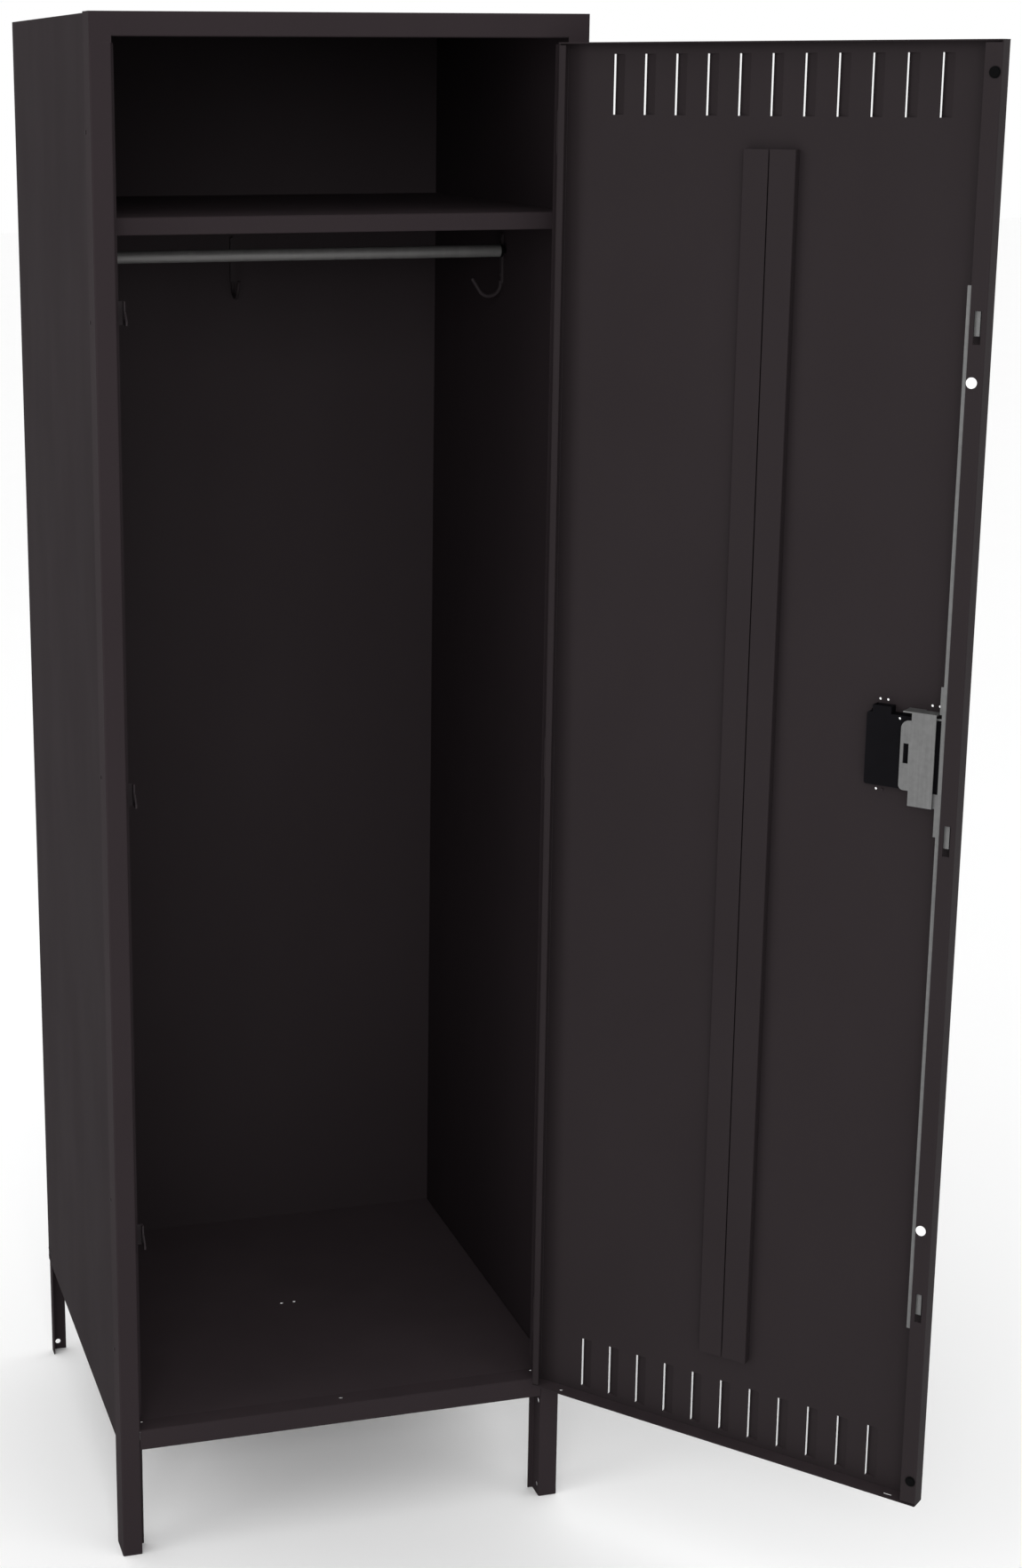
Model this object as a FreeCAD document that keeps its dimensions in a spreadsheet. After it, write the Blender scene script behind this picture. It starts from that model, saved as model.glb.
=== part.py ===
"""Single tier school locker with a hinged louvred door and a lift-handle lock bar.

Cabinet frame: origin on the floor under the middle of the cabinet, X to the right,
Y to the back, Z up.  Door frame: X runs from the hinge edge (negative towards the
latch edge), Y runs from the outer skin into the door, Z is the height above the floor.
"""
import FreeCAD, Part
import os
import re
import Sketcher

document = FreeCAD.newDocument("school_locker")
os.makedirs("parts", exist_ok=True)

# ---------------------------------------------------------------- dimensions (mm, degrees)

DIMENSIONS = {
    # cabinet envelope
    "half_width": 304.8,
    "half_depth": 304.8,
    "cabinet_height": 1981.2,
    "leg_height": 152.4,
    "frame_gauge": 1.5,
    "panel_gauge": 0.9,
    "bend_radius": 0.7,
    # front frame
    "face_width": 26,
    "flange_depth": 40,
    "strike_setback": 25.8,
    "strike_edge": 272,
    "upright_bottom": 187,
    "upright_top": 1946,
    "header_face": 28,
    "sill_top": 180.5,
    "sill_depth": 29.3,
    "sill_return": 24,
    "sill_hole_setback": 19.2,
    "sill_hole_radius": 3.0,
    "corner_hole_setback": 25.3,
    "corner_hole_radius": 2.2,
    "panel_lap": 12.4,
    # leg anchor holes
    "anchor_radius": 4,
    "anchor_setback": 10.3,
    "anchor_low": 13.8,
    "anchor_high": 141.5,
    "rear_anchor_across": 293.4,
    "rear_anchor_height": 12.2,
    # rear legs and panel flanges
    "rear_leg_width": 21.4,
    "rear_leg_depth": 19.4,
    "rear_flange": 20,
    "tray_flange": 14,
    "pan_hole_half_pitch": 9.5,
    "pan_hole_setback": 8,
    "pan_hole_radius": 2.2,
    # hat shelf, rod and hooks
    "shelf_top": 1746,
    "shelf_front": -262,
    "shelf_lip": 21,
    "shelf_return": 10,
    "rod_height": 1683,
    "rod_setback": -12,
    "rod_end_gap": 5.2,
    "rod_cap": 3.2,
    "rod_radius": 7.9,
    "rod_wall": 1.2,
    "rod_plug": 10,
    "rod_stub_radius": 3.5,
    "hook_plate_half": 33.5,
    "hook_plate_width": 6.6,
    "hook_plate_gauge": 3,
    "hook_wire_radius": 2.5,
    "hook_bow_radius": 16,
    "hook_bow_height": -33,
    "hook_shank": 4,
    "hook_bolt_low": -21,
    "hook_bolt_high": 25,
    "hook_bolt_radius": 1.5,
    "side_hook_height": 1671.5,
    "back_hook_height": 1653.5,
    # frame hooks for the lock bar
    "catch_blade": -266.7,
    "catch_gauge": 2.2,
    "catch_flange": -277,
    "catch_tip": -296,
    "catch_low": 2.2,
    "catch_high": 30,
    "catch_mouth": 8.2,
    "catch_throat": -283.9,
    "catch_barb": -286.9,
    # hinges
    "pivot_setout": 1.65,
    "pivot_front": 3.5,
    "barrel_radius": 3.2,
    "pin_radius": 1.6,
    "pin_bore_radius": 1.65,
    "pin_head_radius": 2.9,
    "pin_foot_radius": 2.3,
    "leaf_gauge": 1.5,
    "leaf_depth": 20.4,
    "leaf_front": 0.2,
    "hinge_length": 51,
    "knuckle_gap": 0.3,
    "hinge_top": 1843,
    "hinge_middle": 1065,
    "hinge_bottom": 287,
    "hinge_rivet_setback": 12,
    "hinge_rivet_pitch": 17,
    "rivet_radius": 2,
    "rivet_hole_radius": 2.05,
    "open_angle": 130.2,
    # door pan
    "door_half": 275.5,
    "door_width": 551,
    "door_bottom": 183.5,
    "door_top": 1947.5,
    "door_gauge": 1.5,
    "door_thick": 23.5,
    "hinge_return": 10,
    "latch_return": 19.5,
    "corner_relief": 2,
    "drain_across": 40.2,
    "drain_setback": 13.5,
    "drain_radius": 2.5,
    # louvres
    "louvre_start": 63.6,
    "louvre_pitch": 41.08,
    "louvre_reach": 15.9,
    "louvre_rise": 5.5,
    "louvre_mouth": 4.4,
    "louvre_lip": 1,
    "louvre_end_wall": 1.2,
    "louvre_half": 35,
    "louvre_low_row": 228,
    "louvre_row_rise": 1671,
    # stiffener
    "stiffener_start": 242,
    "stiffener_width": 67,
    "stiffener_depth": 12,
    "stiffener_gauge": 1.2,
    "stiffener_gap": 1.6,
    "stiffener_bottom": 303,
    "stiffener_top": 1827,
    # latch slots, shared by the door return and the frame hooks
    "slot_start": 536.8,
    "slot_end": 545.4,
    "slot_tall": 37,
    "slot_top_base": 1619.5,
    "slot_middle_base": 1026,
    "slot_bottom_base": 432,
    # hand recess and padlock eye
    "cup_start": 431.2,
    "cup_end": 526,
    "cup_bottom": 1097,
    "cup_top": 1185,
    "cup_floor": 15.5,
    "cup_wall": 2,
    "cup_corner": 3,
    "bezel": 5,
    "bezel_gauge": 1.5,
    "cup_slot_start": 489.6,
    "cup_slot_end": 516.5,
    "cup_slot_bottom": 1126.5,
    "cup_slot_top": 1144,
    "clip_start": 438,
    "clip_end": 461.2,
    "clip_wall": 1.6,
    "clip_rise": 8.6,
    "cover_hole_radius": 1.6,
    "cover_hole_height": 1198.3,
    "cover_hole_low": 1088.6,
    "eye_start": 498,
    "eye_end": 500.5,
    "eye_reach": 6,
    "eye_bottom": 1133,
    "eye_top": 1158,
    "eye_bore": 4.75,
    "eye_bore_height": 1142.5,
    # lock bar
    "bar_start": 526,
    "bar_end": 543,
    "bar_front": 18.4,
    "bar_gauge": 2,
    "bar_bottom": 420,
    "bar_top": 1684,
    "bar_travel": 12,
    "notch_start": 535.5,
    "notch_low": -12.5,
    "notch_high": 9,
    "guide_across": 538.4,
    "guide_top": 1577,
    "guide_bottom": 553,
    "guide_stem_radius": 3,
    "guide_head_radius": 6.25,
    "bumper_across": 544,
    "bumper_top": 1912.7,
    "bumper_bottom": 216.9,
    # lift plate and its handle
    "lift_gauge": 1.6,
    "lift_front": 21.3,
    "web_start": 490,
    "web_end": 519.8,
    "web_bottom": 1080,
    "web_top": 1193,
    "tab_start": 477.6,
    "tab_bottom": 1098,
    "tab_top": 1182.3,
    "window_start": 481.4,
    "window_end": 487.9,
    "window_bottom": 1130.5,
    "window_top": 1154.5,
    "canopy_start": 479,
    "canopy_step": 500,
    "leg_start": 522,
    "leg_end": 541,
    "leg_bottom": 1046,
    "leg_top": 1226,
    "leg_recess": 524.6,
    "leg_recess_bottom": 1097.4,
    "strap_bottom": 1185.8,
    "strap_top": 1188,
    "leg_rivet_across": 532.5,
    "leg_rivet_middle": 1136,
    "leg_rivet_pitch": 78,
    "handle_start": 490.5,
    "handle_end": 514,
    "handle_level": 1130,
    "handle_drop": 10,
    "handle_rise": 16,
}

sheet = document.addObject("Spreadsheet::Sheet", "dim")
for row, (name, size) in enumerate(DIMENSIONS.items(), start=1):
    sheet.set(f"A{row}", name)
    sheet.set(f"B{row}", str(size))
    sheet.setAlias(f"B{row}", name)
document.recompute()

ALIAS = re.compile(r"\b(" + "|".join(DIMENSIONS) + r")\b")


def bound(text):
    """Turn a formula over dimension names into a spreadsheet expression."""
    return ALIAS.sub(r"dim.\1", str(text))


def number(text):
    return float(sheet.evalExpression(bound(text)))


# ---------------------------------------------------------------- outlines

def rect(x0, y0, x1, y1):
    return [(x0, y0), (x1, y0), (x1, y1), (x0, y1)]


def disc(x, y, radius):
    return ("disc", x, y, radius)


def folded(path, gauge, side):
    """Outline of a folded sheet from its square-cornered outer path.

    side is +1 when the metal lies to the left of the path and -1 when to the right.
    """
    spots = [(number(x), number(y)) for x, y in path]
    normals = []
    for (x0, y0), (x1, y1) in zip(spots, spots[1:]):
        run = (x1 > x0) - (x1 < x0)
        rise = (y1 > y0) - (y1 < y0)
        if abs(x1 - x0) > abs(y1 - y0):
            rise = 0
        else:
            run = 0
        normals.append((-rise * side, run * side))
    inner = []
    for index, (x, y) in enumerate(path):
        touching = set(normals[max(index - 1, 0):index + 1])
        shift_x = sum(normal[0] for normal in touching)
        shift_y = sum(normal[1] for normal in touching)
        inner.append((f"{x} + ({shift_x}) * {gauge}", f"{y} + ({shift_y}) * {gauge}"))
    return list(path) + inner[::-1]


# ---------------------------------------------------------------- body helpers

PLANES = {"XY": ("XY_Plane", 1), "XZ": ("XZ_Plane", -1), "YZ": ("YZ_Plane", 1)}
AXES = {"X": 0, "Y": 1, "Z": 2}
nodes = []


def new_body(label, placement=None):
    body = document.addObject("PartDesign::Body", label)
    body.Label = label
    if placement is not None:
        body.Placement = placement
    nodes.append(body)
    return body


def origin_feature(body, role):
    return next(item for item in body.Origin.OriginFeatures if item.Role == role)


def sketch(body, plane, level, outlines):
    """Sketch on an origin plane moved to a level, every point driven by the sheet."""
    role, sense = PLANES[plane]
    drawing = body.newObject("Sketcher::SketchObject", "Outline")
    drawing.AttachmentSupport = [(origin_feature(body, role), "")]
    drawing.MapMode = "FlatFace"
    drawing.setExpression("AttachmentOffset.Base.z", f"{sense} * ({bound(level)})")

    def locate(geometry, point, x, y):
        for kind, text in (("DistanceX", x), ("DistanceY", y)):
            rule = Sketcher.Constraint(kind, -1, 1, geometry, point, number(text))
            place = drawing.addConstraint(rule)
            drawing.setExpression(f"Constraints[{place}]", bound(text))

    for outline in outlines:
        if outline[0] == "disc":
            _, x, y, radius = outline
            centre = FreeCAD.Vector(number(x), number(y), 0)
            circle = Part.Circle(centre, FreeCAD.Vector(0, 0, 1), number(radius))
            geometry = drawing.addGeometry(circle, False)
            locate(geometry, 3, x, y)
            rule = Sketcher.Constraint("Radius", geometry, number(radius))
            place = drawing.addConstraint(rule)
            drawing.setExpression(f"Constraints[{place}]", bound(radius))
            continue
        corners = [FreeCAD.Vector(number(x), number(y), 0) for x, y in outline]
        lines = []
        for start, end in zip(corners, corners[1:] + corners[:1]):
            lines.append(drawing.addGeometry(Part.LineSegment(start, end), False))
        for line, following in zip(lines, lines[1:] + lines[:1]):
            drawing.addConstraint(Sketcher.Constraint("Coincident", line, 2, following, 1))
        for line, (x, y) in zip(lines, outline):
            locate(line, 1, x, y)
    return drawing


def pad(body, plane, start, end, outlines):
    """Add metal from one level up to a higher one."""
    feature = body.newObject("PartDesign::Pad", "Pad")
    feature.Profile = sketch(body, plane, start, outlines)
    feature.setExpression("Length", bound(f"({end}) - ({start})"))
    feature.Reversed = PLANES[plane][1] < 0
    body.Tip = feature
    return feature


def pocket(body, plane, start, end, outlines):
    """Cut from one level up to a higher one."""
    feature = body.newObject("PartDesign::Pocket", "Pocket")
    feature.Profile = sketch(body, plane, start, outlines)
    feature.setExpression("Length", bound(f"({end}) - ({start})"))
    feature.Reversed = PLANES[plane][1] > 0
    body.Tip = feature
    return feature


def round_edges(body, axis, corners, radius):
    """Fillet the straight edges along an axis that pass through the given corners."""
    document.recompute()
    base = body.Tip
    along = AXES[axis]
    across = [index for index in range(3) if index != along]
    wanted = [(number(first), number(second)) for first, second in corners]
    names = []
    for index, edge in enumerate(base.Shape.Edges, start=1):
        if len(edge.Vertexes) != 2 or not isinstance(edge.Curve, Part.Line):
            continue
        start, end = (vertex.Point for vertex in edge.Vertexes)
        if abs(start[along] - end[along]) < 0.01:
            continue
        for first, second in wanted:
            near = all(abs(spot[across[0]] - first) < 0.01
                       and abs(spot[across[1]] - second) < 0.01 for spot in (start, end))
            if near:
                names.append(f"Edge{index}")
    feature = body.newObject("PartDesign::Fillet", "Bends")
    feature.Base = (base, names)
    feature.setExpression("Radius", bound(radius))
    body.Tip = feature
    return feature


def bend_corners(path, gauge, side):
    """Split the bends of a folded path into outer and inner corner lists."""
    outline = folded(path, gauge, side)
    count = len(path)
    outer = []
    inner = []
    for index in range(1, count - 1):
        before, here, after = ([number(v) for v in path[index + step]] for step in (-1, 0, 1))
        turn = ((here[0] - before[0]) * (after[1] - here[1])
                - (here[1] - before[1]) * (after[0] - here[0]))
        on_path = path[index]
        off_path = outline[2 * count - 1 - index]
        convex, concave = (on_path, off_path) if turn * side > 0 else (off_path, on_path)
        outer.append(convex)
        inner.append(concave)
    return outer, inner


def folded_pad(body, plane, start, end, path, gauge, side):
    """Folded sheet section with rounded bends, run along the plane's normal."""
    axis = {"XY": "Z", "XZ": "Y", "YZ": "X"}[plane]
    pad(body, plane, start, end, [folded(path, gauge, side)])
    outer, inner = bend_corners(path, gauge, side)
    round_edges(body, axis, outer, f"bend_radius + {gauge}")
    round_edges(body, axis, inner, "bend_radius")


def studs(body, plane, wall, out, steps, spots):
    """Round studs at several spots, built in steps measured outwards from a wall plane."""
    for near, far, radius in steps:
        low, high = (near, far) if out > 0 else (f"-({far})", f"-({near})")
        pad(body, plane, f"{wall} + ({low})", f"{wall} + ({high})",
            [disc(across, along, radius) for across, along in spots])


def domed(height, radius):
    """Two steps that make up a low domed head."""
    return [("0", f"{height} * 0.6", radius), (f"{height} * 0.6", height, f"{radius} * 0.8")]


def mirrored(label, source, normal=(1, 0, 0)):
    """Opposite-hand copy of a finished body."""
    feature = document.addObject("Part::Mirroring", label)
    feature.Source = source
    feature.Normal = normal
    feature.Label = label
    nodes.append(feature)
    return feature


# ---------------------------------------------------------------- front frame

FRONT = "-half_depth"
FLANGE_PATH = [("half_width", "-half_depth + flange_depth"), ("half_width", FRONT),
               ("half_width - face_width", FRONT)]
STRIKE_PATH = FLANGE_PATH + [
    ("half_width - face_width", "-half_depth + strike_setback"),
    ("strike_edge", "-half_depth + strike_setback")]

right_upright = new_body("right_upright")
folded_pad(right_upright, "XY", "upright_bottom", "upright_top", STRIKE_PATH, "frame_gauge", -1)
mirrored("left_upright", right_upright)

# the leg's strike flange stops under the sill
front_leg = new_body("front_right_leg")
folded_pad(front_leg, "XY", "0", "upright_bottom", STRIKE_PATH, "frame_gauge", -1)
pocket(front_leg, "XY", "leg_height - 0.3", "upright_bottom + 1",
       [rect("strike_edge - 1", "-half_depth + strike_setback - 1",
             "half_width - face_width", "-half_depth + strike_setback + frame_gauge + 1")])
pocket(front_leg, "YZ", "half_width - face_width - 1", "half_width - face_width + frame_gauge + 1",
       [disc("-half_depth + anchor_setback", height, "anchor_radius")
        for height in ("anchor_low", "anchor_high")])
mirrored("front_left_leg", front_leg)

header = new_body("header")
folded_pad(header, "YZ", "-half_width", "half_width",
           [("-half_depth + flange_depth", "cabinet_height"), (FRONT, "cabinet_height"),
            (FRONT, "cabinet_height - header_face"),
            ("-half_depth + strike_setback", "cabinet_height - header_face")],
           "frame_gauge", 1)
for hand in ("1", "-1"):
    ear = [(f"{hand} * ({x})", y) for x, y in folded(FLANGE_PATH, "frame_gauge", -1)]
    pad(header, "XY", "upright_top", "cabinet_height - 0.2", [ear])

sill = new_body("sill")
folded_pad(sill, "YZ", "-half_width + face_width", "half_width - face_width",
           [("-half_depth + sill_return", "leg_height"), (FRONT, "leg_height"),
            (FRONT, "sill_top"), ("-half_depth + sill_depth", "sill_top")], "frame_gauge", -1)
corner_holes = [disc(across, "-half_depth + corner_hole_setback", "corner_hole_radius")
                for across in ("strike_edge", "-strike_edge")]
pocket(sill, "XY", "sill_top - frame_gauge - 1", "sill_top + 1",
       [disc("0", "-half_depth + sill_hole_setback", "sill_hole_radius")] + corner_holes)

# ---------------------------------------------------------------- side, back, top and bottom

SIDE_OUT = "half_width - frame_gauge"
SIDE_IN = "half_width - frame_gauge - panel_gauge"
REAR_IN = "half_depth - panel_gauge"
LAP_START = "-half_depth + flange_depth - panel_lap"
TOP_IN = "cabinet_height - frame_gauge"

right_side = new_body("right_side_panel")
folded_pad(right_side, "XY", "leg_height", TOP_IN,
           [(SIDE_OUT, LAP_START), (SIDE_OUT, "half_depth"),
            (f"{SIDE_OUT} - rear_flange", "half_depth")], "panel_gauge", 1)
mirrored("left_side_panel", right_side)

back_panel = new_body("back_panel")
pad(back_panel, "XZ", f"{REAR_IN} - panel_gauge", REAR_IN,
    [rect(f"-({SIDE_IN}) + bend_radius + 0.1", "leg_height",
          f"{SIDE_IN} - bend_radius - 0.1", TOP_IN)])

REAR_FACE = "half_depth - 2 * panel_gauge"


def tray(label, level, front, flange, flanged_edges):
    """Flat pan with its sides and the named cross edges flanged downwards."""
    body = new_body(label)
    side = f"({SIDE_IN})"
    path = [(f"-{side}", f"{level} - {flange}"), (f"-{side}", level), (side, level),
            (side, f"{level} - {flange}")]
    folded_pad(body, "XZ", front, REAR_FACE, path, "panel_gauge", -1)
    for edge in flanged_edges:
        pad(body, "XZ", edge, f"{edge} + panel_gauge",
            [rect(f"-{side} + panel_gauge", f"{level} - {flange}",
                  f"{side} - panel_gauge", f"{level} - 0.5 * panel_gauge")])
    return body


REAR_EDGE = f"{REAR_FACE} - panel_gauge"
tray("top_panel", f"({TOP_IN})", f"({LAP_START})", "tray_flange", (f"({LAP_START})", REAR_EDGE))
bottom_panel = tray("bottom_panel", "sill_top", "(-half_depth + sill_depth)", "tray_flange",
                    (REAR_EDGE,))
pocket(bottom_panel, "XY", "sill_top - panel_gauge - 1", "sill_top + 1",
       [disc(across, "pan_hole_setback", "pan_hole_radius")
        for across in ("-pan_hole_half_pitch", "pan_hole_half_pitch")])
for hand in ("-1", "1"):
    edge = f"{hand} * ({SIDE_IN})"
    inset = f"{hand} * ({SIDE_IN} - rear_leg_width - 1)"
    low, high = (inset, edge) if hand == "1" else (edge, inset)
    pocket(bottom_panel, "XY", "sill_top - tray_flange - 1", "sill_top - 1.2",
           [rect(low, f"{REAR_FACE} - rear_leg_depth - 1", high, f"{REAR_FACE}")])

rear_leg = new_body("rear_right_leg")
folded_pad(rear_leg, "XY", "0", "sill_top - 1.5",
           [(SIDE_IN, f"{REAR_FACE} - rear_leg_depth"), (SIDE_IN, REAR_FACE),
            (f"{SIDE_IN} - rear_leg_width", REAR_FACE)], "frame_gauge", 1)
pocket(rear_leg, "XZ", "half_depth - 10", "half_depth",
       [disc("rear_anchor_across", "rear_anchor_height", "anchor_radius")])
mirrored("rear_left_leg", rear_leg)

# ---------------------------------------------------------------- hat shelf and coat rod

shelf = new_body("hat_shelf")
folded_pad(shelf, "YZ", f"-({SIDE_IN})", SIDE_IN,
           [("shelf_front + shelf_return", "shelf_top - shelf_lip"), ("shelf_front", "shelf_top - shelf_lip"),
            ("shelf_front", "shelf_top"), (REAR_FACE, "shelf_top"),
            (REAR_FACE, "shelf_top - tray_flange")], "panel_gauge", -1)
for hand in ("-1", "1"):
    edge = f"{hand} * ({SIDE_IN})"
    inset = f"{hand} * ({SIDE_IN} - panel_gauge)"
    low, high = (inset, edge) if hand == "1" else (edge, inset)
    pad(shelf, "YZ", low, high,
        [rect("shelf_front + 3", "shelf_top - tray_flange",
              f"{REAR_FACE} - 3", "shelf_top - 0.5 * panel_gauge")])

ROD_END = f"{SIDE_IN} - rod_end_gap - rod_cap"
rod = new_body("coat_rod")
pad(rod, "YZ", f"-({ROD_END})", ROD_END,
    [disc("rod_setback", "rod_height", "rod_radius"),
     disc("rod_setback", "rod_height", "rod_radius - rod_wall")])

# end caps: a plug in the tube, a collar against its end and a stub to the wall
sockets = new_body("rod_sockets")
for hand in ("-1", "1"):
    for inner, outer, radius in ((f"{ROD_END} - rod_plug", ROD_END, "rod_radius - rod_wall - 0.1"),
                                 (ROD_END, f"{ROD_END} + rod_cap", "rod_radius + 0.4"),
                                 (f"{ROD_END} + rod_cap", SIDE_IN, "rod_stub_radius")):
        near, far = f"{hand} * ({inner})", f"{hand} * ({outer})"
        low, high = (near, far) if hand == "1" else (far, near)
        pad(sockets, "YZ", low, high, [disc("rod_setback", "rod_height", radius)])

# ---------------------------------------------------------------- coat hooks

HOOK_BOLTS = ("hook_bolt_low", "hook_bolt_high")
BOW_ANGLE = -147
PRONG_LENGTH = 20


def coat_hook(label, placement):
    """Wall plate with one upswept round prong; the wall is the local plane X = 0."""
    body = new_body(label, placement)
    pad(body, "YZ", "-hook_plate_gauge", "0",
        [rect("-hook_plate_width / 2", "-hook_plate_half",
              "hook_plate_width / 2", "hook_plate_half")])
    round_edges(body, "X", [(f"{side} * hook_plate_width / 2", f"{end} * hook_plate_half")
                            for side in ("1", "-1") for end in ("1", "-1")],
                "hook_plate_width / 2 - 0.1")
    path = body.newObject("Sketcher::SketchObject", "Path")
    path.AttachmentSupport = [(origin_feature(body, "XZ_Plane"), "")]
    path.MapMode = "FlatFace"
    across = FreeCAD.Vector(0, 0, 1)
    bow = number("hook_bow_radius")
    meet = FreeCAD.Vector(number("-hook_wire_radius - 0.1"), number("hook_bow_height"), 0)
    begin = meet + FreeCAD.Vector(0, number("hook_shank"), 0)
    centre = meet - FreeCAD.Vector(bow, 0, 0)
    turn = FreeCAD.Rotation(across, BOW_ANGLE)
    half_turn = FreeCAD.Rotation(across, BOW_ANGLE / 2)
    leave = centre + turn.multVec(FreeCAD.Vector(bow, 0, 0))
    halfway = centre + half_turn.multVec(FreeCAD.Vector(bow, 0, 0))
    heading = turn.multVec(FreeCAD.Vector(0, -1, 0))
    path.addGeometry(Part.LineSegment(begin, meet), False)
    path.addGeometry(Part.Arc(meet, halfway, leave), False)
    path.addGeometry(Part.LineSegment(leave, leave + heading * PRONG_LENGTH), False)
    for first, second in ((0, 1), (1, 2)):
        joins = [(a, b) for a in (1, 2) for b in (1, 2)
                 if (path.getPoint(first, a) - path.getPoint(second, b)).Length < 1e-6]
        path.addConstraint(Sketcher.Constraint("Coincident", first, joins[0][0],
                                               second, joins[0][1]))
    prong = body.newObject("PartDesign::AdditivePipe", "Prong")
    prong.Profile = sketch(body, "XY", "hook_bow_height + hook_shank",
                           [disc("-hook_wire_radius - 0.1", "0", "hook_wire_radius")])
    prong.Spine = (path, ["Edge1", "Edge2", "Edge3"])
    body.Tip = prong
    pocket(body, "YZ", "-hook_plate_gauge - 1", "1",
           [disc("0", height, "hook_bolt_radius + 0.05") for height in HOOK_BOLTS])
    return body


def wall_seat(x, y, z, angle):
    turn = FreeCAD.Rotation(FreeCAD.Vector(0, 0, 1), angle)
    return FreeCAD.Placement(FreeCAD.Vector(number(x), number(y), number(z)), turn)


coat_hook("right_hook", wall_seat(SIDE_IN, "0", "side_hook_height", 0))
coat_hook("left_hook", wall_seat(f"-({SIDE_IN})", "0", "side_hook_height", 180))
coat_hook("back_hook", wall_seat("0", REAR_FACE, "back_hook_height", 90))

HOOK_BOLT_STEPS = [("-hook_plate_gauge", "0", "hook_bolt_radius")] + domed("1.2", "2.6")
hook_bolts = new_body("hook_bolts")
side_spots = [("0", f"side_hook_height + {height}") for height in HOOK_BOLTS]
back_spots = [("0", f"back_hook_height + {height}") for height in HOOK_BOLTS]
studs(hook_bolts, "YZ", f"({SIDE_IN} - hook_plate_gauge)", -1, HOOK_BOLT_STEPS, side_spots)
studs(hook_bolts, "YZ", f"-({SIDE_IN} - hook_plate_gauge)", 1, HOOK_BOLT_STEPS, side_spots)
studs(hook_bolts, "XZ", f"({REAR_FACE} - hook_plate_gauge)", -1, HOOK_BOLT_STEPS, back_spots)

# ---------------------------------------------------------------- fixings in the side walls

PANEL_RIVET_HEIGHTS = (286, 498, 1065, 1624.5, 1845)
FLANGE_RIVET = domed("0.9", "2.5")

panel_rivets = new_body("panel_rivets")
spots = [("-half_depth + 34", str(height)) for height in PANEL_RIVET_HEIGHTS]
studs(panel_rivets, "YZ", "half_width", 1, FLANGE_RIVET, spots)
studs(panel_rivets, "YZ", "-half_width", -1, FLANGE_RIVET, spots)

leg_rivets = new_body("leg_rivets")
spots = [(f"half_depth - {setback}", f"leg_height + {rise}")
         for setback in (16.8, 7.8) for rise in (7.6, 19.6)]
studs(leg_rivets, "YZ", f"({SIDE_OUT})", 1, FLANGE_RIVET, spots)
studs(leg_rivets, "YZ", f"-({SIDE_OUT})", -1, FLANGE_RIVET, spots)

SHELF_BOLT_DEPTHS = (-235, 20, 275)
shelf_bolts = new_body("shelf_bolts")
spots = [(str(depth), "shelf_top - tray_flange / 2") for depth in SHELF_BOLT_DEPTHS]
studs(shelf_bolts, "YZ", f"({SIDE_IN} - panel_gauge)", -1, domed("1.4", "3.4"), spots)
studs(shelf_bolts, "YZ", f"-({SIDE_IN} - panel_gauge)", 1, domed("1.4", "3.4"), spots)

# ---------------------------------------------------------------- frame hooks for the lock bar


def frame_hook(label, base):
    """Notched blade behind the strike that the lock bar drops into."""
    body = new_body(label)
    back = "-half_depth + strike_setback + frame_gauge"
    inner = f"{back} + catch_gauge"
    pad(body, "XY", f"{base} + catch_low", f"{base} + catch_high",
        [[("catch_flange", back), ("catch_blade", back), ("catch_blade", "catch_tip"),
          ("catch_blade + catch_gauge", "catch_tip"), ("catch_blade + catch_gauge", inner),
          ("catch_flange", inner)]])
    mouth = f"{base} + catch_mouth"
    above = f"{base} + catch_high + 5"
    pocket(body, "YZ", "catch_blade - 1", "catch_blade + catch_gauge + 1",
           [[("catch_throat", mouth), ("catch_throat", above), ("catch_tip - 4", above),
             ("catch_tip - 4", f"{mouth} - 3.5"), ("catch_tip", f"{mouth} - 1"),
             ("catch_barb", f"{mouth} + 10"), ("catch_barb", mouth)]])
    return body


HOOK_LEVELS = {"top": "slot_top_base", "middle": "slot_middle_base", "bottom": "slot_bottom_base"}
for name, base in HOOK_LEVELS.items():
    frame_hook(f"frame_hook_{name}", base)

# ---------------------------------------------------------------- hinges

PIVOT_X = "door_half + pivot_setout"
PIVOT_Y = "-half_depth - pivot_front"
KNUCKLE = "(hinge_length - 4 * knuckle_gap) / 5"
FRAME_KNUCKLES = (0, 2, 4)
DOOR_KNUCKLES = (1, 3)
HINGE_LEVELS = {"top": "hinge_top", "middle": "hinge_middle", "bottom": "hinge_bottom"}


def hinge_leaf(label, level, knuckles, leaf_x, pivot_x, pivot_y, face_y, placement=None):
    """Flat leaf with tongues that reach its own share of the barrel."""
    body = new_body(label, placement)
    base = f"({level} - hinge_length / 2)"
    pad(body, "XY", base, f"{base} + hinge_length",
        [rect(leaf_x, f"{face_y} + leaf_front", f"{leaf_x} + leaf_gauge",
              f"{face_y} + leaf_front + leaf_depth")])
    for index in knuckles:
        low = f"({base} + {index} * ({KNUCKLE} + knuckle_gap))"
        pad(body, "XY", low, f"{low} + {KNUCKLE}", [disc(pivot_x, pivot_y, "barrel_radius")])
        pad(body, "XY", low, f"{low} + {KNUCKLE}",
            [rect(leaf_x, pivot_y, f"{leaf_x} + leaf_gauge", f"{face_y} + leaf_front + 1")])
    pocket(body, "XY", f"{base} - 1", f"{base} + hinge_length + 1",
           [disc(pivot_x, pivot_y, "pin_bore_radius")])
    return body


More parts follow.
